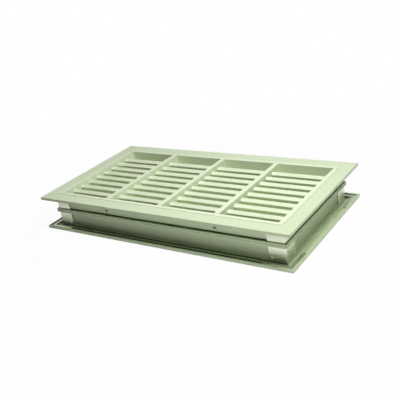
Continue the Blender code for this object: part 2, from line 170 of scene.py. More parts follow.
def linear(hex_colour: str) -> tuple[float, float, float, float]:
    """Turn an sRGB hex colour such as #c8d4b6 into linear red, green and blue, with an alpha of 1."""
    channels = [int(hex_colour[start:start + 2], 16) / 255 for start in (1, 3, 5)]
    return (*(c / 12.92 if c <= SRGB_KNEE else ((c + 0.055) / 1.055) ** 2.4 for c in channels), 1.0)


def add_node(tree: bpy.types.NodeTree, kind: str, details: dict | None = None) -> bpy.types.Node:
    """Add a shader node, set its options and fill its inputs.

    Args:
        tree: The node tree that takes the node.
        kind: The node's type name, without its ShaderNode.
        details: Options by their lower-case name first, then inputs by title or number. A socket
            is linked to its input, and so is a node, by its first output.

    Returns:
        The new node.
    """
    node = tree.nodes.new(f"ShaderNode{kind}")
    for name, value in (details or {}).items():
        source = value.outputs[0] if isinstance(value, bpy.types.Node) else value
        if str(name).islower():
            setattr(node, name, value)
        elif isinstance(source, bpy.types.NodeSocket):
            tree.links.new(source, node.inputs[name])
        else:
            node.inputs[name].default_value = value
    return node


def inside_box(tree: bpy.types.NodeTree, place: bpy.types.NodeSocket,
               ranges: dict[str, tuple[float, float]]) -> bpy.types.Node:
    """Tell where a surface lies between limits along some axes.

    Args:
        tree: The node tree that asks.
        place: The place on the piece.
        ranges: The lowest and highest place along each axis that counts.

    Returns:
        A node that gives 1 within all the limits and 0 elsewhere.
    """
    spot = add_node(tree, "SeparateXYZ", {"Vector": place}).outputs
    inside = 1.0
    for axis, (low, high) in ranges.items():
        near = add_node(tree, "Math", {
            "operation": "COMPARE", 0: spot[axis], 1: (low + high) / 2, 2: (high - low) / 2})
        inside = add_node(tree, "Math", {"operation": "MULTIPLY", 0: inside, 1: near})
    return inside


def new_material(name: str) -> tuple[bpy.types.Material, bpy.types.NodeTree, bpy.types.NodeSocket]:
    """Start a node material.

    Args:
        name: The material's name.

    Returns:
        The material, its node tree and the socket that gives the place on the piece.
    """
    material = bpy.data.materials.new(name)
    material.use_nodes = True
    tree = material.node_tree
    tree.nodes.clear()
    return material, tree, add_node(tree, "TexCoord").outputs["Object"]


@dataclass(frozen=True)
class ThinCoat:
    """Painted shadow in a narrow channel: a dark band between two levels that stands in for the shade
    there.

    It runs as far as its reach to both sides of the middle, so the lip outside it stays pale.
    """

    levels: tuple[float, float]
    reach: float
    shade: str


@dataclass(frozen=True)
class SatinPowderCoat:
    """Extruded aluminium under a satin powder coat: pale green, even, with a soft broad sheen.

    Powder flows out to a slight orange peel, about 1.5 mm from hump to hump. Die lines of the
    bar below print through along its length; they are drawn 0.9 mm apart, coarser than real
    ones, so that they still show in a picture of the whole grille.
    """

    name: str
    grain: Grain
    # A painted shadow band for the back channel, or none.
    thin: ThinCoat | None = None
    shade: str = "#d8e7c2"
    # Here only the mottle's second tone, which the clouds and die lines mix in.
    thin_shade: str = "#d1e1ba"
    roughness: float = 0.36
    roughness_spread: float = 0.05
    index: float = 1.45
    line_spacing: float = 0.0009
    peel_size: float = 0.0015
    cloud_size: float = 0.035
    line_relief: float = 0.000004
    peel_relief: float = 0.000012

    def build(self) -> bpy.types.Material:
        """Return the material."""
        material, tree, place = new_material(f"{self.name}_{self.grain.name.lower()}")
        stretched = add_node(tree, "Mapping", {"Vector": place, "Scale": self.grain.value})
        lines = add_node(tree, "TexNoise", {
            "Vector": stretched, "Scale": 1 / self.line_spacing, "Detail": 2.0})
        clouds = add_node(tree, "TexNoise", {"Vector": place, "Scale": 1 / self.cloud_size, "Detail": 3.0})
        peel = add_node(tree, "TexNoise", {"Vector": place, "Scale": 1 / self.peel_size, "Detail": 1.0})
        blend = add_node(tree, "Math", {"operation": "MULTIPLY", 0: lines, 1: clouds})
        colour = add_node(tree, "Mix", {
            "data_type": "RGBA", "Factor": blend, 6: linear(self.shade), 7: linear(self.thin_shade)})
        roughness = add_node(tree, "MapRange", {
            "Value": clouds, "To Min": self.roughness - self.roughness_spread,
            "To Max": self.roughness + self.roughness_spread})
        drawn = add_node(tree, "Bump", {"Height": lines, "Distance": self.line_relief})
        bump = add_node(tree, "Bump", {"Height": peel, "Distance": self.peel_relief, "Normal": drawn})
        coat = add_node(tree, "BsdfPrincipled", {
            "Base Color": self.darken_channels(tree, place, colour.outputs[2]), "IOR": self.index,
            "Roughness": roughness, "Normal": bump})
        add_node(tree, "OutputMaterial", {"Surface": coat})
        return material

    def darken_channels(self, tree: bpy.types.NodeTree, place: bpy.types.NodeSocket,
                        colour: bpy.types.NodeSocket) -> bpy.types.NodeSocket:
        """Paint the channel's shadow into the colour as a dark band, and leave the outer lip as it is.

        Args:
            tree: The coat's node tree.
            place: The place on the bar.
            colour: The coat's colour elsewhere.

        Returns:
            The colour with the dark band in it.
        """
        if self.thin is None:
            return colour
        band = inside_box(tree, place, {
            "Z": self.thin.levels, self.grain.across: (-self.thin.reach, self.thin.reach)})
        return add_node(tree, "Mix", {
            "data_type": "RGBA", "Factor": band, 6: colour, 7: linear(self.thin.shade)}).outputs[2]


@dataclass(frozen=True)
class MillAluminium:
    """Bare rolled aluminium strip: brighter than the frames, streaked along its rolling lines.

    Rolling lines are drawn 0.3 mm apart, and broad smears give the mottled shine of a strip that
    was bent and staked without any finish.
    """

    name: str = "mill_aluminium"
    shade: str = "#e9efd9"
    smear_shade: str = "#d3dac2"
    roughness: float = 0.26
    roughness_spread: float = 0.10
    stretch: tuple[float, float, float] = (0.05, 0.05, 1.0)
    line_spacing: float = 0.0003
    smear_size: float = 0.006
    smear_bend: float = 0.6
    smear_contrast: tuple[float, float] = (0.35, 0.65)
    relief: float = 0.0000015

    def build(self) -> bpy.types.Material:
        """Return the material."""
        material, tree, place = new_material(self.name)
        stretched = add_node(tree, "Mapping", {"Vector": place, "Scale": self.stretch})
        lines = add_node(tree, "TexNoise", {
            "Vector": stretched, "Scale": 1 / self.line_spacing, "Detail": 3.0})
        smears = add_node(tree, "TexNoise", {
            "Vector": stretched, "Scale": 1 / self.smear_size, "Detail": 2.0,
            "Distortion": self.smear_bend})
        low, high = self.smear_contrast
        contrast = add_node(tree, "MapRange", {"Value": smears, "From Min": low, "From Max": high})
        colour = add_node(tree, "Mix", {
            "data_type": "RGBA", "Factor": contrast, 6: linear(self.shade), 7: linear(self.smear_shade)})
        roughness = add_node(tree, "MapRange", {
            "Value": contrast, "To Min": self.roughness, "To Max": self.roughness + self.roughness_spread})
        bump = add_node(tree, "Bump", {"Height": lines, "Distance": self.relief})
        metal = add_node(tree, "BsdfPrincipled", {
            "Base Color": colour.outputs[2], "Metallic": 1.0, "Roughness": roughness, "Normal": bump})
        add_node(tree, "OutputMaterial", {"Surface": metal})
        return material


@dataclass(frozen=True)
class DulledAluminium(MillAluminium):
    """The flat cleats' strip: the same rolled metal with a duller shine, and a greyer colour that paints
    the shade the cleats lie in.
    """

    name: str = "dull_and_shaded_mill_aluminium"
    # Painted shade: greyer colours than the mill aluminium's.
    shade: str = "#c0c9af"
    smear_shade: str = "#aab398"
    roughness: float = 0.36


@dataclass(frozen=True)
class ExtrudedPlastic:
    """Satin rigid vinyl, extruded: a creamy pale core with soft waves along each profile.

    A black band is painted round the outside of the core at the foot of the face frame's neck, for the
    shade in the gap there, and shows as a dark line between the two frames.
    """

    shade: str = "#ebf5d7"
    shadow_shade: str = "#e5f1d0"
    roughness: float = 0.55
    index: float = 1.40
    wave_size: float = 0.004
    relief: float = 0.000006
    # Painted shadow: the band's black, its levels, and the inner limits that keep it off the inner faces.
    seal_shade: str = "#12150f"
    seal_levels: tuple[float, float] = (0.0255, 0.0300)
    seal_reach: tuple[float, float] = (0.1814, 0.0864)

    def build(self) -> bpy.types.Material:
        """Return the material."""
        material, tree, place = new_material("satin_vinyl")
        stretched = add_node(tree, "Mapping", {"Vector": place, "Scale": Grain.ALONG_X.value})
        waves = add_node(tree, "TexNoise", {
            "Vector": stretched, "Scale": 1 / self.wave_size, "Detail": 2.0})
        colour = add_node(tree, "Mix", {
            "data_type": "RGBA", "Factor": waves, 6: linear(self.shade), 7: linear(self.shadow_shade)})
        # The painted gap shadow: within the levels and outside the inner limits.
        reach_x, reach_y = self.seal_reach
        level = inside_box(tree, place, {"Z": self.seal_levels})
        inner = inside_box(tree, place, {"X": (-reach_x, reach_x), "Y": (-reach_y, reach_y)})
        gap_shadow = add_node(tree, "Math", {"operation": "SUBTRACT", "use_clamp": True, 0: level, 1: inner})
        gap_shadowed = add_node(tree, "Mix", {
            "data_type": "RGBA", "Factor": gap_shadow, 6: colour.outputs[2], 7: linear(self.seal_shade)})
        bump = add_node(tree, "Bump", {"Height": waves, "Distance": self.relief})
        plastic = add_node(tree, "BsdfPrincipled", {
            "Base Color": gap_shadowed.outputs[2], "Roughness": self.roughness, "IOR": self.index,
            "Normal": bump})
        add_node(tree, "OutputMaterial", {"Surface": plastic})
        return material


@dataclass(frozen=True)
class GraphiteFiller:
    """Pressed graphite strip that swells in heat: dull, dark, with pale flakes about 0.5 mm wide."""

    shade: str = "#3a3935"
    flake_shade: str = "#6b6a63"
    roughness: float = 0.85
    flake_size: float = 0.0005
    relief: float = 0.00005
    relief_strength: float = 0.6

    def build(self) -> bpy.types.Material:
        """Return the material."""
        material, tree, place = new_material("graphite_filler")
        flakes = add_node(tree, "TexVoronoi", {"Vector": place, "Scale": 1 / self.flake_size})
        colour = add_node(tree, "Mix", {
            "data_type": "RGBA", "Factor": flakes, 6: linear(self.flake_shade), 7: linear(self.shade)})
        bump = add_node(tree, "Bump", {
            "Height": flakes, "Distance": self.relief, "Strength": self.relief_strength})
        filler = add_node(tree, "BsdfPrincipled", {
            "Base Color": colour.outputs[2], "Roughness": self.roughness, "Normal": bump})
        add_node(tree, "OutputMaterial", {"Surface": filler})
        return material


@dataclass(frozen=True)
class ZincSteel:
    """Zinc-plated screw steel: a soft shine in a dark grey that paints the shade round the head, cloudy
    where the plating has dulled.
    """

    # Painted shade: both greys are darker than zinc plating, for the shade round the head.
    shade: str = "#868d76"
    cloud_shade: str = "#646a57"
    roughness: float = 0.42
    cloud_size: float = 0.0015

    def build(self) -> bpy.types.Material:
        """Return the material."""
        material, tree, place = new_material("zinc_plated_steel")
        clouds = add_node(tree, "TexNoise", {"Vector": place, "Scale": 1 / self.cloud_size, "Detail": 2.0})
        colour = add_node(tree, "Mix", {
            "data_type": "RGBA", "Factor": clouds, 6: linear(self.shade), 7: linear(self.cloud_shade)})
        metal = add_node(tree, "BsdfPrincipled", {
            "Base Color": colour.outputs[2], "Metallic": 1.0, "Roughness": self.roughness})
        add_node(tree, "OutputMaterial", {"Surface": metal})
        return material


@dataclass
class Workpiece:
    """One mesh object on the bench, shaped with edit-mode operators and modifiers."""

    name: str
    thing: bpy.types.Object

    def __post_init__(self) -> None:
        """Give the object and its mesh the piece's name."""
        self.thing.name = self.name
        self.thing.data.name = self.name

    @classmethod
    def block(cls, name: str, low: Vector, high: Vector) -> "Workpiece":
        """Start from a block.

        Args:
            name: The piece's name.
            low: The block's lowest corner.
            high: The block's highest corner.

        Returns:
            The block, with its place in its mesh.
        """
        bpy.ops.object.select_all(action="DESELECT")
        bpy.ops.mesh.primitive_cube_add(size=1.0, location=(low + high) / 2, scale=high - low)
        bpy.ops.object.transform_apply(location=True, rotation=True, scale=True)
        return cls(name, bpy.context.object)

    @classmethod
    def outline(cls, name: str, points: Sequence[Vector]) -> "Workpiece":
        """Trace a flat outline by pulling a corner from point to point, and fill it.

        Args:
            name: The piece's name.
            points: The outline's corners in order.

        Returns:
            The filled outline, one face.
        """
        bpy.ops.object.select_all(action="DESELECT")
        bpy.ops.mesh.primitive_plane_add(size=CLEARANCE)
        piece = cls(name, bpy.context.object)
        with piece.edited(Element.VERTEX):
            bpy.ops.mesh.merge(type="CENTER")
            bpy.ops.transform.translate(value=points[0])
            for start, end in zip(points, (*points[1:], points[0])):
                bpy.ops.mesh.extrude_vertices_move(TRANSFORM_OT_translate={"value": end - start})
            bpy.ops.mesh.select_all(action="SELECT")
            bpy.ops.mesh.remove_doubles(threshold=WELD)
            bpy.ops.mesh.edge_face_add()
        return piece

    @classmethod
    def frustum(cls, name: str, foot: Vector, axis: Vector, radii: tuple[float, float],
                length: float, steps: int = 24) -> "Workpiece":
        """Start from a round rod or a cone's lower part.

        Args:
            name: The piece's name.
            foot: The middle of its foot.
            axis: The direction from its foot to its top.
            radii: The radius at its foot and at its top.
            length: Its length along the axis.
            steps: How many sides it has.

        Returns:
            The rod, with its place in its mesh.
        """
        bpy.ops.object.select_all(action="DESELECT")
        turn = UP.rotation_difference(axis).to_euler()
        bpy.ops.mesh.primitive_cone_add(vertices=steps, radius1=radii[0], radius2=radii[1], depth=length,
                                        location=foot + axis.normalized() * length / 2, rotation=turn)
        bpy.ops.object.transform_apply(location=True, rotation=True, scale=True)
        return cls(name, bpy.context.object)

    def take_up(self) -> None:
        """Select this piece alone and make it the active one."""
        bpy.ops.object.select_all(action="DESELECT")
        self.thing.select_set(True)
        bpy.context.view_layer.objects.active = self.thing

    @contextmanager
    def edited(self, element: Element, wanted: Callable[[object], bool] | None = None) -> Iterator[None]:
        """Hold the piece in edit mode with its elements selected.

        Args:
            element: What edit mode selects.
            wanted: A test by place or normal that leaves only some selected.

        Returns:
            A context that leaves edit mode at its end.
        """
        self.take_up()
        bpy.ops.object.mode_set(mode="EDIT")
        bpy.ops.mesh.select_mode(type=element.value[0])
        bpy.ops.mesh.select_all(action="SELECT")
        if wanted:
            self.pick(element, wanted)
        yield
        bpy.ops.object.mode_set(mode="OBJECT")

    def pick(self, element: Element, wanted: Callable[[object], bool]) -> None:
        """Select the elements that pass a test, in edit mode.

        Args:
            element: The kind of element to test.
            wanted: The test, by the element's place or normal.
        """
        bpy.ops.mesh.select_all(action="DESELECT")
        shape = bmesh.from_edit_mesh(self.thing.data)
        for part in getattr(shape, element.value[1]):
            if wanted(part):
                part.select_set(True)
        bmesh.update_edit_mesh(self.thing.data)

    @staticmethod
    def pull(offset: Sequence[float]) -> None:
        """Extrude what is selected, in edit mode."""
        bpy.ops.mesh.extrude_region_move(TRANSFORM_OT_translate={"value": offset})

    def round_corners(self, spots: Sequence[Vector], radius: float) -> None:
        """Round the corners of a flat outline that lie at the given spots."""
        with self.edited(Element.VERTEX, lambda corner: any(
                (corner.co - spot).length < WELD for spot in spots)):
            bpy.ops.mesh.bevel(offset=radius, segments=ROUND_STEPS, affect="VERTICES")

    def extrude_all(self, offset: Vector) -> None:
        """Pull a flat outline into a solid bar.

        Args:
            offset: How far and which way to pull it.
        """
        with self.edited(Element.FACE):
            self.pull(offset)
            bpy.ops.mesh.select_all(action="SELECT")
            bpy.ops.mesh.normals_make_consistent(inside=False)

    def trim(self, point: Vector, away: Vector) -> None:
        """Cut the piece at a plane, close the cut, and drop the side that the normal points to."""
        with self.edited(Element.FACE):
            bpy.ops.mesh.bisect(plane_co=point, plane_no=away, use_fill=True, clear_outer=True,
                                threshold=WELD)

    def bevel_edges(self, wanted: Callable[[bmesh.types.BMEdge], bool], width: float, steps: int) -> None:
        """Round the edges that pass a test, to a width and in a number of facets."""
        with self.edited(Element.EDGE, wanted):
            bpy.ops.mesh.bevel(offset=width, segments=steps, affect="EDGES")

    def hollow(self, wall: float) -> None:
        """Open a block into a tube along X by insetting both ends and joining them through.

        Args:
            wall: The tube's wall.
        """
        with self.edited(Element.FACE, lambda face: abs(face.normal.x) > FACING):
            bpy.ops.mesh.inset(thickness=wall, use_boundary=True)
            bpy.ops.mesh.bridge_edge_loops()

    def modify(self, kind: str, **settings: object) -> None:
        """Add a modifier and apply it.

        Args:
            kind: The modifier's type name.
            settings: Its options by name.
        """
        self.take_up()
        bpy.ops.object.modifier_add(type=kind)
        modifier = self.thing.modifiers[-1]
        for name, value in settings.items():
            setattr(modifier, name, value)
        bpy.ops.object.modifier_apply(modifier=modifier.name)

    def cut(self, tool: "Workpiece") -> None:
        """Take a closed tool's volume out of the piece, and put the tool away."""
        self.modify("BOOLEAN", operation="DIFFERENCE", object=tool.thing)
        tool.discard()

    def drill(self, start: Vector, axis: Vector, radius: float, depth: float) -> None:
        """Bore a round hole from a point along an axis."""
        self.cut(Workpiece.frustum("drill", start, axis, (radius, radius), depth))

    def soften(self, width: float) -> None:
        """Break every sharp edge with a small rounding, as deburring leaves it."""
        self.modify("BEVEL", limit_method="ANGLE", angle_limit=SMOOTH_ANGLE, width=width,
                    segments=SOFT_STEPS)

    def move(self, place: Vector, turn: tuple[float, float, float] = (0.0, 0.0, 0.0)) -> "Workpiece":
        """Turn the piece about the origin, move it, and put its place in its mesh.

        Args:
            place: Where its own origin goes.
            turn: Its turn about X, Y and Z.

        Returns:
            The same piece.
        """
        self.take_up()
        self.thing.location = place
        self.thing.rotation_euler = turn
        bpy.ops.object.transform_apply(location=True, rotation=True, scale=True)
        return self

    def copy(self, name: str) -> "Workpiece":
        """Return a copy with a mesh of its own.

        Args:
            name: The copy's name.

        Returns:
            The copy.
        """
        self.take_up()
        bpy.ops.object.duplicate()
        return Workpiece(name, bpy.context.object)

    def join(self, others: Iterable["Workpiece"]) -> None:
        """Join other pieces into this one as separate shells.

        Args:
            others: The pieces to take in.
        """
        self.take_up()
        for other in others:
            other.thing.select_set(True)
        bpy.ops.object.join()

    def discard(self) -> None:
        """Take the piece off the bench."""
        bpy.data.objects.remove(self.thing)

    def dress(self, material: bpy.types.Material, slot: str, half: Half, stands_for: str) -> None:
        """Shade the piece, give it its finish and hang it on its half of the grille.

        Args:
            material: The piece's finish.
            slot: The record's material slot that it belongs to; not used.
            half: The half that carries it.
            stands_for: The CAD node that it replaces.
        """
        self.take_up()
        bpy.ops.object.shade_smooth_by_angle(angle=SMOOTH_ANGLE)
        self.modify("WEIGHTED_NORMAL", keep_sharp=True)
        self.thing.data.materials.clear()
        self.thing.data.materials.append(material)
        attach(self.thing, half.body)
        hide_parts(stands_for)
        LOG.info("%s stands for %s, %d faces", self.thing.name, stands_for, len(self.thing.data.polygons))


@dataclass(frozen=True)
class SectionPoint:
    """A corner of an extruded section: inward from the outer edge, deep from the outer face."""

    inward: float
    depth: float
    rounding: float = 0.0


@dataclass
class CoverFrame:
    """Four mitred bars of one extruded section: flange, lip, back rib, ledge and neck.

    The counter frame's neck drops a little behind the rim, the rim's lip is a little lower and
    the face frame's neck reaches a little further than in the solids, so that the dark line
    between the frames lies at the right height.
    """

    half: Half
    flange_width: float = 0.018
    plate: float = 0.0015
    lip_height: float = 0.0042
    lip_thickness: float = 0.0025
    rib_inset: float = 0.008
    rib_thickness: float = 0.0015
    rib_height: float = 0.0018
    neck_thickness: float = 0.0014
    ledge_width: float = 0.0017
    ledge_height: float = 0.0012
    neck_height: float = 0.0283
    rim_inset: float = 0.013
    rim_depth: float = 0.0058
    rim_thickness: float = 0.0012
    neck_drop: float = 0.0013
    neck_reach: float = 0.0005
    rim_drop: float = 0.0005
    groove_drop: float = 0.0028
    groove_width: float = 0.0015
    groove_cut: float = 0.0008
    hole_radius: float = 0.0017
    outer_round: float = 0.0006
    inner_round: float = 0.0002
    mitre_gap: float = 0.0001
    mitre_round: float = 0.0001
    # The painted channel shadow: the levels of its band and its dark colour.
    thin_levels: tuple[float, float] = (0.0010, 0.0021)
    thin_shade: str = "#667255"

    def inner_points(self, *corners: tuple[float, float]) -> list[SectionPoint]:
        """Return section points with the small inner rounding."""
        return [SectionPoint(inward, depth, self.inner_round) for inward, depth in corners]

    def flange_points(self) -> list[SectionPoint]:
        """Return the section from the opening's edge round the outer lip to the bracket ledge."""
        rib_end = self.rib_inset + self.rib_thickness
        rib_top = self.plate + self.rib_height
        neck = self.flange_width - self.neck_thickness
        ledge = neck - self.ledge_width
        ledge_top = self.plate + self.ledge_height
        return [
            SectionPoint(self.flange_width, 0.0, self.inner_round),
            SectionPoint(0.0, 0.0, self.outer_round),
            SectionPoint(0.0, self.lip_height, self.outer_round),
            *self.inner_points(
                (self.lip_thickness, self.lip_height), (self.lip_thickness, self.plate),
                (self.rib_inset, self.plate), (self.rib_inset, rib_top), (rib_end, rib_top),
                (rib_end, self.plate), (ledge, self.plate), (ledge, ledge_top), (neck, ledge_top)),
        ]

    def section(self) -> list[SectionPoint]:
        """Return the whole section of this half's bars."""
        neck = self.flange_width - self.neck_thickness
        if self.half is Half.FACE:
            low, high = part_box("face_bar_front")
            end = high.z - low.z + self.neck_reach
            return self.flange_points() + [SectionPoint(neck, end), SectionPoint(self.flange_width, end)]
        rim_foot = self.neck_height - self.rim_depth
        rim_floor = rim_foot + self.rim_thickness
        rim_lip = self.rim_inset + self.rim_thickness
        rim_top = self.neck_height - self.rim_drop
        neck_top = self.neck_height - self.neck_drop
        groove = self.neck_height - self.groove_drop
        return [
            *self.flange_points(),
            *self.inner_points((neck, rim_foot), (self.rim_inset, rim_foot)),
            SectionPoint(self.rim_inset, groove - self.groove_width / 2),
            SectionPoint(self.rim_inset + self.groove_cut, groove),
            SectionPoint(self.rim_inset, groove + self.groove_width / 2),
            *self.inner_points((self.rim_inset, rim_top), (rim_lip, rim_top), (rim_lip, rim_floor),
                               (neck, rim_floor)),
            SectionPoint(neck, neck_top),
            SectionPoint(self.flange_width, neck_top),
        ]

    def bar(self, name: str, length: float, reach: float) -> Workpiece:
        """Model one bar at the front: trace its section, pull it along X and cut both mitres.

        Args:
            name: The bar's name.
            length: The frame's length along this side.
            reach: How far the bar's outer edge lies from the middle.

        Returns:
            The bar.
        """
        low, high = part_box(f"{self.half.value}_bar_front")
        level = low.z if self.half is Half.COUNTER else high.z
        corners = self.section()
        spots = [Vector((-length / 2, point.inward - reach, level + self.half.depth_sign * point.depth))
                 for point in corners]
        piece = Workpiece.outline(name, spots)
        for rounding in (self.outer_round, self.inner_round):
            chosen = [spot for spot, point in zip(spots, corners) if point.rounding == rounding]
            piece.round_corners(chosen, rounding)
        piece.extrude_all(Vector((length, 0.0, 0.0)))
        shift = self.mitre_gap / math.sqrt(2)
        for sign in (-1, 1):
            piece.trim(Vector((sign * (length / 2 - shift), -reach, 0.0)), Vector((sign, 1.0, 0.0)))
        return piece

    def bore_screw_holes(self, piece: Workpiece, side: Side) -> None:
        """Drill the neck of a long bar where the screws go through.

        Args:
            piece: The bar, in its place.
            side: Its side of the frame.
        """
        outwards = -1 if side is Side.FRONT else 1
        for end in ENDS:
            middle = middle_of(f"neck_screw_{side.label}_{end}")
            start = Vector((middle.x, outwards * CAD_BOUNDS[1][1], middle.z))
            piece.drill(start, Vector((0.0, -outwards, 0.0)), self.hole_radius,
                        self.flange_width + CLEARANCE)

    def finish(self, grain: Grain, reach: float) -> bpy.types.Material:
        """Return the coat of the bars that run one way.

        Args:
            grain: Which way the bars run.
            reach: How far their outer edges lie from the middle.

        Returns:
            The coat, with a painted shadow band in the back channel of the counter frame's long bars.
        """
        thin = ThinCoat(self.thin_levels, reach - self.lip_thickness - CLEARANCE, self.thin_shade)
        channelled = self.half is Half.COUNTER and grain is Grain.ALONG_X
        return SatinPowderCoat(f"satin_coat_{self.half.value}", grain, thin if channelled else None).build()

    def build(self) -> None:
        """Build, finish and hang the four bars."""
        half_length, half_depth = CAD_BOUNDS[1][0], CAD_BOUNDS[1][1]
        spans = {Grain.ALONG_X: (half_length, half_depth), Grain.ALONG_Y: (half_depth, half_length)}
        finishes = {grain: self.finish(grain, reach) for grain, (_, reach) in spans.items()}
        for side in Side:
            length, reach = spans[side.grain]
            piece = self.bar(f"{self.half.value}_frame_{side.label}", 2 * length, reach)
            piece.move(Vector(), (0.0, 0.0, side.turn))
            if self.half is Half.FACE and side.grain is Grain.ALONG_X:
                self.bore_screw_holes(piece, side)
            piece.soften(self.mitre_round)
            piece.dress(finishes[side.grain], "painted_aluminium", self.half,
                        f"{self.half.value}_bar_{side.label}")


@dataclass
class StakedPiece:
    """What the bent brackets and the flat cleats share: strip aluminium, dimpled by a punch."""

    half: Half
    finish: bpy.types.Material
    stake_radius: float = 0.0016
    stake_floor_radius: float = 0.0013
    stake_depth: float = 0.0003
    stake_from_end: float = 0.0045
    edge_round: float = 0.0002

    def stake(self, piece: Workpiece, spot: Vector, inwards: Vector) -> None:
        """Punch one tapered dimple.

        The punch stands half out of the metal, so at the surface its radius is the dimple's.

        Args:
            piece: The piece to punch.
            spot: The dimple's middle on the surface.
            inwards: The direction into the metal.
        """
        radii = (2 * self.stake_radius - self.stake_floor_radius, self.stake_floor_radius)
        start = spot - inwards * self.stake_depth
        piece.cut(Workpiece.frustum("punch", start, inwards, radii, 2 * self.stake_depth))

    def hang(self, model: Workpiece, kind: str) -> None:
        """Place a finished copy of the model at each corner of the frame.

        Args:
            model: The piece with its outer corner at the origin, which is put away at the end.
            kind: The piece's kind, as in the node names.
        """
        for corner in Corner:
            node = f"{self.half.value}_{kind}_{corner.label}"
            piece = model.copy(f"{self.half.value}_corner_{kind}_{corner.label}")
            piece.move(corner.outer_point(*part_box(node)), (0.0, 0.0, corner.turn))
            piece.dress(self.finish, "bare_aluminium", self.half, node)
        model.discard()


@dataclass
class CornerBracket(StakedPiece):
    """An angle bent from strip round a neck corner, staked near the end of each leg."""

    thickness: float = 0.0014
    inner_round: float = 0.0005
    bend_steps: int = 6
    stake_from_edge: float = 0.0045

    def stake_levels(self, height: float) -> list[float]:
        """Return the heights of the dimples: one in the middle, or two near the edges.

        Args:
            height: The bracket's height.

        Returns:
            The dimples' heights over the bracket's foot.
        """
        if self.half is Half.FACE:
            return [height / 2]
        return [self.stake_from_edge, height - self.stake_from_edge]

    def build(self) -> None:
        """Bend the strip, punch it and hang one at each corner."""
        low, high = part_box(f"{self.half.value}_bracket_front_left")
        leg, height = high.x - low.x, high.z - low.z
        bend = self.thickness + self.inner_round
        piece = Workpiece.block("bracket", Vector((bend, 0.0, 0.0)), Vector((leg, self.thickness, height)))
        with piece.edited(Element.FACE, lambda face: face.normal.x < -FACING):
            bpy.ops.mesh.spin(steps=self.bend_steps, angle=math.pi / 2, center=(bend, bend, 0.0), axis=UP)
            piece.pull((0.0, leg - bend, 0.0))
            bpy.ops.mesh.select_all(action="SELECT")
            bpy.ops.mesh.remove_doubles(threshold=WELD)
            bpy.ops.mesh.normals_make_consistent(inside=False)
        along = leg - self.stake_from_end
        for level in self.stake_levels(height):
            self.stake(piece, Vector((along, 0.0, level)), Vector((0.0, 1.0, 0.0)))
            self.stake(piece, Vector((0.0, along, level)), Vector((1.0, 0.0, 0.0)))
        piece.soften(self.edge_round)
        self.hang(piece, "bracket")


@dataclass
class CornerCleat(StakedPiece):
    """A flat L cut from strip, pressed behind the flange and staked near the end of each leg."""

    end_chamfer: float = 0.0008
    width: float = 0.0043

    def build(self) -> None:
        """Draw out the L, trim its ends, punch it and hang one at each corner."""
        low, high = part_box(f"{self.half.value}_cleat_front_left")
        leg, thickness = high.x - low.x, high.z - low.z
        width = self.width
        piece = Workpiece.block("cleat", Vector(), Vector((width, width, thickness)))
        with piece.edited(Element.FACE, lambda face: face.normal.x > FACING):
            piece.pull((leg - width, 0.0, 0.0))
            piece.pick(Element.FACE, lambda face: face.normal.y > FACING
                       and face.calc_center_median().x < width)
            piece.pull((0.0, leg - width, 0.0))
        piece.bevel_edges(lambda edge: self.is_outer_corner(edge, leg), self.end_chamfer, 1)
        level, inwards = (thickness, -UP) if self.half is Half.COUNTER else (0.0, UP)
        along = leg - self.stake_from_end
        for spot in ((along, width / 2, level), (width / 2, along, level)):
            self.stake(piece, Vector(spot), inwards)
        piece.soften(self.edge_round)
        self.hang(piece, "cleat")

    @staticmethod
    def is_outer_corner(edge: bmesh.types.BMEdge, leg: float) -> bool:
        """Return whether an upright edge stands at the L's outer corner or at the end of a leg."""
        start, end = (corner.co for corner in edge.verts)
        return abs(start.z - end.z) > WELD and (max(start.xy) > leg - WELD or max(start.xy) < WELD)


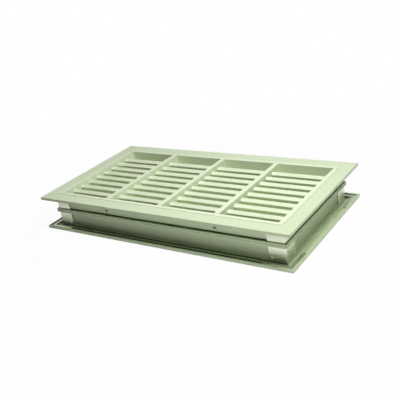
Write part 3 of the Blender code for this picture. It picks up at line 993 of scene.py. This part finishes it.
@dataclass
class SlatCore:
    """The core: two hollow rails, two end bars, three mullions and eight leaning sleeves."""

    plastic: bpy.types.Material
    filler: bpy.types.Material
    rail_wall: float = 0.0012
    sleeve_wall: float = 0.0010
    slat_thickness: float = 0.0067
    slat_lean: float = math.radians(22.0)
    slat_round: float = 0.0010
    slat_seat: float = 0.0030
    slat_count: int = 8
    hole_radius: float = 0.0017
    edge_round: float = 0.0004
    round_steps: int = 5

    @staticmethod
    def bar(node: str) -> Workpiece:
        """Return a block that fills a rail's, end bar's or mullion's box."""
        return Workpiece.block(f"slat_core_{node.removeprefix('core_')}", *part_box(node))

    def hang(self, bar: Workpiece, node: str) -> None:
        """Break the edges of a bar of the core and hang it on the face half."""
        bar.soften(self.edge_round)
        bar.dress(self.plastic, "core_plastic", Half.FACE, node)

    def slat_height(self) -> float:
        """Return the height of a slat's section, worked out from its leaning box."""
        low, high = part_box("slat_sleeve_1")
        rise = high.z - low.z - 2 * self.slat_round
        sideways = (self.slat_thickness - 2 * self.slat_round) * math.sin(self.slat_lean)
        return (rise - sideways) / math.cos(self.slat_lean) + 2 * self.slat_round

    def lean(self, piece: Workpiece, number: int) -> Workpiece:
        """Lean a piece as the slats do and put it in a slat's place, by the slat's number."""
        middle = middle_of(f"slat_sleeve_{number}")
        return piece.move(Vector((0.0, middle.y, middle.z)), (self.slat_lean, 0.0, 0.0))

    def windows(self, node: str) -> Workpiece:
        """Return the space that all slats need in a cross bar.

        Args:
            node: The bar's CAD node.

        Returns:
            One tool with a leaning block for each slat, through a mullion and as deep as the
            slats' seats in an end bar.
        """
        low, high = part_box(node)
        start, end = low.x - CLEARANCE, high.x + CLEARANCE
        if node.endswith("left"):
            start = high.x - self.slat_seat - CLEARANCE
        elif node.endswith("right"):
            end = low.x + self.slat_seat + CLEARANCE
        half_y = self.slat_thickness / 2 + CLEARANCE
        half_z = self.slat_height() / 2 + CLEARANCE
        foot, top = Vector((start, -half_y, -half_z)), Vector((end, half_y, half_z))
        blocks = []
        for number in range(1, self.slat_count + 1):
            block = Workpiece.block("window", foot, top)
            block.bevel_edges(lambda edge: abs(edge.verts[0].co.x - edge.verts[1].co.x) > WELD,
                              self.slat_round + CLEARANCE, self.round_steps)
            blocks.append(self.lean(block, number))
        blocks[0].join(blocks[1:])
        return blocks[0]

    def build_rails(self) -> None:
        """Build the front and rear rails as tubes with screw holes."""
        for side in (Side.FRONT, Side.REAR):
            node = f"core_rail_{side.label}"
            low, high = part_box(node)
            rail = self.bar(node)
            rail.hollow(self.rail_wall)
            for end in ENDS:
                middle = middle_of(f"neck_screw_{side.label}_{end}")
                rail.drill(Vector((middle.x, low.y - CLEARANCE, middle.z)), Vector((0.0, 1.0, 0.0)),
                           self.hole_radius, high.y - low.y + 2 * CLEARANCE)
            self.hang(rail, node)

    def build_cross_bars(self) -> None:
        """Build the end bars with blind seats and the mullions with through windows."""
        for node in ("core_end_left", "core_end_right", "mullion_1", "mullion_2", "mullion_3"):
            bar = self.bar(node)
            bar.cut(self.windows(node))
            self.hang(bar, node)

    def build_sleeves(self) -> None:
        """Build the slats' sleeves as rounded tubes."""
        for number in range(1, self.slat_count + 1):
            node = f"slat_sleeve_{number}"
            low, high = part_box(node)
            half = Vector(((high.x - low.x) / 2, self.slat_thickness / 2, self.slat_height() / 2))
            sleeve = Workpiece.block(f"slat_{number}", -half, half)
            sleeve.hollow(self.sleeve_wall)
            sleeve.bevel_edges(lambda edge: self.is_outer_long_edge(edge, half),
                               self.slat_round, self.round_steps)
            self.lean(sleeve, number).dress(self.plastic, "core_plastic", Half.FACE, node)

    @staticmethod
    def is_outer_long_edge(edge: bmesh.types.BMEdge, half: Vector) -> bool:
        """Return whether an edge is one of a block's four long outer ones."""
        start, end = (corner.co for corner in edge.verts)
        return abs(start.x - end.x) > WELD and abs(start.y) > half.y - WELD and abs(start.z) > half.z - WELD

    def dress_fillers(self) -> None:
        """Give the hidden strips and rail fillers their finish."""
        for name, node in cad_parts.items():
            if "filler" in name or "strip" in name:
                node.data.materials.clear()
                node.data.materials.append(self.filler)

    def build(self) -> None:
        """Build the whole core."""
        self.build_rails()
        self.build_cross_bars()
        self.build_sleeves()
        self.dress_fillers()


@dataclass
class NeckScrews:
    """Four pan-head screws with a cross recess, through the neck into rail and mullion."""

    steel: bpy.types.Material
    head_radius: float = 0.0024
    head_height: float = 0.0013
    dome_steps: int = 4
    dome_arc: float = math.pi / 2.6
    shank_radius: float = 0.0014
    tip_length: float = 0.0020
    recess_width: float = 0.0013
    recess_length: float = 0.0038
    recess_depth: float = 0.0011
    sides: int = 32
    edge_round: float = 0.0001

    def model(self, length: float) -> Workpiece:
        """Turn one screw about Z with its head's seat at the origin.

        The head stands upright for a third of its height and is domed above that.

        Args:
            length: The shank's length under the head.

        Returns:
            The screw.
        """
        skirt = self.head_height / 3
        radii = (self.head_radius, self.head_radius)
        screw = Workpiece.frustum("screw", Vector(), UP, radii, skirt, self.sides)
        with screw.edited(Element.FACE, lambda face: face.normal.z > FACING):
            for step in range(self.dome_steps):
                outer = math.cos(step / self.dome_steps * self.dome_arc)
                inner = math.cos((step + 1) / self.dome_steps * self.dome_arc)
                screw.pull((0.0, 0.0, 2 * skirt / self.dome_steps))
                bpy.ops.transform.resize(value=(inner / outer, inner / outer, 1.0),
                                         center_override=(0.0, 0.0, 0.0))
            screw.pick(Element.FACE, lambda face: face.normal.z < -FACING)
            bpy.ops.mesh.inset(thickness=self.head_radius - self.shank_radius)
            screw.pull((0.0, 0.0, self.tip_length - length))
            screw.pull((0.0, 0.0, -self.tip_length))
            bpy.ops.mesh.merge(type="CENTER")
        arm = (self.recess_length, self.recess_width)
        for along, across in (arm, arm[::-1]):
            low = Vector((-along / 2, -across / 2, self.head_height - self.recess_depth))
            driver = Workpiece.block("driver", low, Vector((along / 2, across / 2, 2 * self.head_height)))
            screw.cut(driver.move(Vector(), (0.0, 0.0, math.pi / 4)))
        screw.soften(self.edge_round)
        return screw

    def build(self) -> None:
        """Build the screws and hang them in the necks."""
        low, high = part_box("neck_screw_front_left")
        model = self.model(high.y - low.y - self.head_height)
        for side, sign in ((Side.FRONT, -1), (Side.REAR, 1)):
            for end in ENDS:
                node = f"neck_screw_{side.label}_{end}"
                low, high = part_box(node)
                place = middle_of(node)
                place.y = (low.y if sign < 0 else high.y) - sign * self.head_height
                screw = model.copy(f"cover_screw_{side.label}_{end}")
                screw.move(place, (-sign * math.pi / 2, 0.0, 0.0))
                screw.dress(self.steel, "screw_steel", Half.FACE, node)
        model.discard()


@dataclass(frozen=True)
class SoftBox:
    """A rectangular studio lamp that points at the grille, its sides along X and Y."""

    name: str
    place: tuple[float, float, float]
    size_x: float
    size_y: float
    power: float

    def build(self) -> None:
        """Hang the lamp."""
        lamp = bpy.data.lights.new(self.name, "AREA")
        lamp.shape = "RECTANGLE"
        lamp.size = self.size_x
        lamp.size_y = self.size_y
        lamp.energy = self.power
        thing = bpy.data.objects.new(self.name, lamp)
        thing.visible_camera = False
        thing.location = self.place
        x, y, z = self.place
        thing.rotation_euler = (-math.asin(y / Vector(self.place).length), math.atan2(x, z), 0.0)
        bpy.context.scene.collection.objects.link(thing)


@dataclass
class Studio:
    """A plain pale floor, soft lamps, a white surround and the camera."""

    lens: float = 56.03
    sensor: float = 36.0
    camera_place: tuple[float, float, float] = (0.49398, -0.63943, 0.37647)
    camera_aim: tuple[float, float, float] = (0.0120, -0.0073, 0.0250)
    camera_roll: float = math.radians(-9.83)
    lamps: tuple[SoftBox, ...] = (
        SoftBox("strip_lamp", (0.19, -0.08, 0.62), 0.36, 0.12, 2.75),
        SoftBox("high_lamp", (0.65, 0.00, 1.30), 0.40, 0.40, 6.0),
        SoftBox("low_card", (0.30, -0.36, 0.06), 0.16, 0.10, 0.14),
    )
    surround_shade: str = "#ffffff"
    floor_size: float = 30.0
    floor_gap: float = 0.0001
    floor_shade: str = "#f4f4f2"
    floor_glow_seen: float = 0.95
    floor_fade: tuple[float, float] = (0.20, 0.45)
    mirrored_glow: tuple[float, float] = (0.35, 0.95)
    mirrored_reach: tuple[float, float] = (-0.25, 0.30)

    def backdrop_share(self, tree: bpy.types.NodeTree, seen: float | bpy.types.Node,
                       mirrored: float | bpy.types.Node) -> bpy.types.Node:
        """Return how much of its own glow a backdrop shows to the ray that meets it.

        A reflection counts only where no dull surface gathered the light before it, so that the
        backdrop shows in metal and sheen but adds no light to the grille.

        Args:
            tree: The node tree that asks.
            seen: The share for a direct look, or one through glass, as a value or a node.
            mirrored: The share for a reflection, as a value or a node.

        Returns:
            The share's node, 0 for the light that a surface gathers.
        """
        path = add_node(tree, "LightPath").outputs
        direct = add_node(tree, "Math", {
            "operation": "ADD", "use_clamp": True, 0: path["Is Camera Ray"],
            1: path["Is Transmission Ray"]})
        share = add_node(tree, "Math", {"operation": "MULTIPLY", 0: direct, 1: seen})
        first = add_node(tree, "Math", {
            "operation": "GREATER_THAN", 0: path["Is Glossy Ray"], 1: path["Diffuse Depth"]})
        return add_node(tree, "Math", {
            "operation": "MULTIPLY_ADD", "use_clamp": True, 0: first, 1: mirrored, 2: share})

    def build_surround(self) -> None:
        """Make the world white to the eye and in reflections, and dark as a light."""
        world = bpy.data.worlds.new("surround")
        world.use_nodes = True
        tree = world.node_tree
        tree.nodes.clear()
        light = add_node(tree, "Background", {
            "Color": linear(self.surround_shade), "Strength": self.backdrop_share(tree, 1.0, 1.0)})
        add_node(tree, "OutputWorld", {"Surface": light})
        bpy.context.scene.world = world

    def build_floor(self) -> None:
        """Lay a floor that keeps the grille's shadow and fades into the white surround.

        Metal mirrors a floor that dims from the lamps' side, on the right, to the left.
        """
        bpy.ops.object.select_all(action="DESELECT")
        bpy.ops.mesh.primitive_plane_add(size=self.floor_size, location=(0.0, 0.0, -self.floor_gap))
        bpy.ops.object.transform_apply(location=True, rotation=True, scale=True)
        floor = bpy.context.object
        floor.name = "studio_floor"
        material, tree, place = new_material("white_floor")
        paper = add_node(tree, "BsdfDiffuse", {"Color": linear(self.floor_shade)})
        glow = add_node(tree, "Emission", {"Color": linear(self.surround_shade)})
        distance = add_node(tree, "VectorMath", {"operation": "LENGTH", 0: place}).outputs["Value"]
        along = add_node(tree, "SeparateXYZ", {"Vector": place}).outputs["X"]
        seen, mirrored = (
            add_node(tree, "MapRange", {"Value": value, "From Min": reach[0], "From Max": reach[1],
                                        "To Min": glows[0], "To Max": glows[1]})
            for value, reach, glows in ((distance, self.floor_fade, (self.floor_glow_seen, 1.0)),
                                        (along, self.mirrored_reach, self.mirrored_glow)))
        surface = add_node(tree, "MixShader", {
            0: self.backdrop_share(tree, seen, mirrored), 1: paper, 2: glow})
        add_node(tree, "OutputMaterial", {"Surface": surface})
        floor.data.materials.append(material)

    def build_camera(self) -> None:
        """Set the camera at the photograph's viewing angle."""
        lens = bpy.data.cameras.new("camera")
        lens.lens = self.lens
        lens.sensor_width = self.sensor
        camera = bpy.data.objects.new("camera", lens)
        place = Vector(self.camera_place)
        turn = (Vector(self.camera_aim) - place).to_track_quat("-Z", "Y").to_matrix().to_4x4()
        camera.matrix_world = Matrix.Translation(place) @ turn @ Matrix.Rotation(self.camera_roll, 4, "Z")
        bpy.context.scene.collection.objects.link(camera)
        bpy.context.scene.camera = camera

    def build(self) -> None:
        """Set up the whole studio."""
        bpy.context.scene.view_settings.view_transform = "Standard"
        self.build_surround()
        self.build_floor()
        for lamp in self.lamps:
            lamp.build()
        self.build_camera()


def main() -> None:
    """Build every sub-assembly of the grille, then the studio."""
    logging.basicConfig(level=logging.INFO, format="%(name)s: %(message)s")
    bare = MillAluminium().build()
    # The cleats' metal: a duller shine, with painted shade in its greyer colour.
    dull = DulledAluminium().build()
    core = SlatCore(ExtrudedPlastic().build(), GraphiteFiller().build())
    for half in Half:
        CoverFrame(half).build()
        CornerBracket(half, bare).build()
        CornerCleat(half, dull).build()
    core.build()
    NeckScrews(ZincSteel().build()).build()
    Studio().build()


if __name__ == "__main__":
    main()
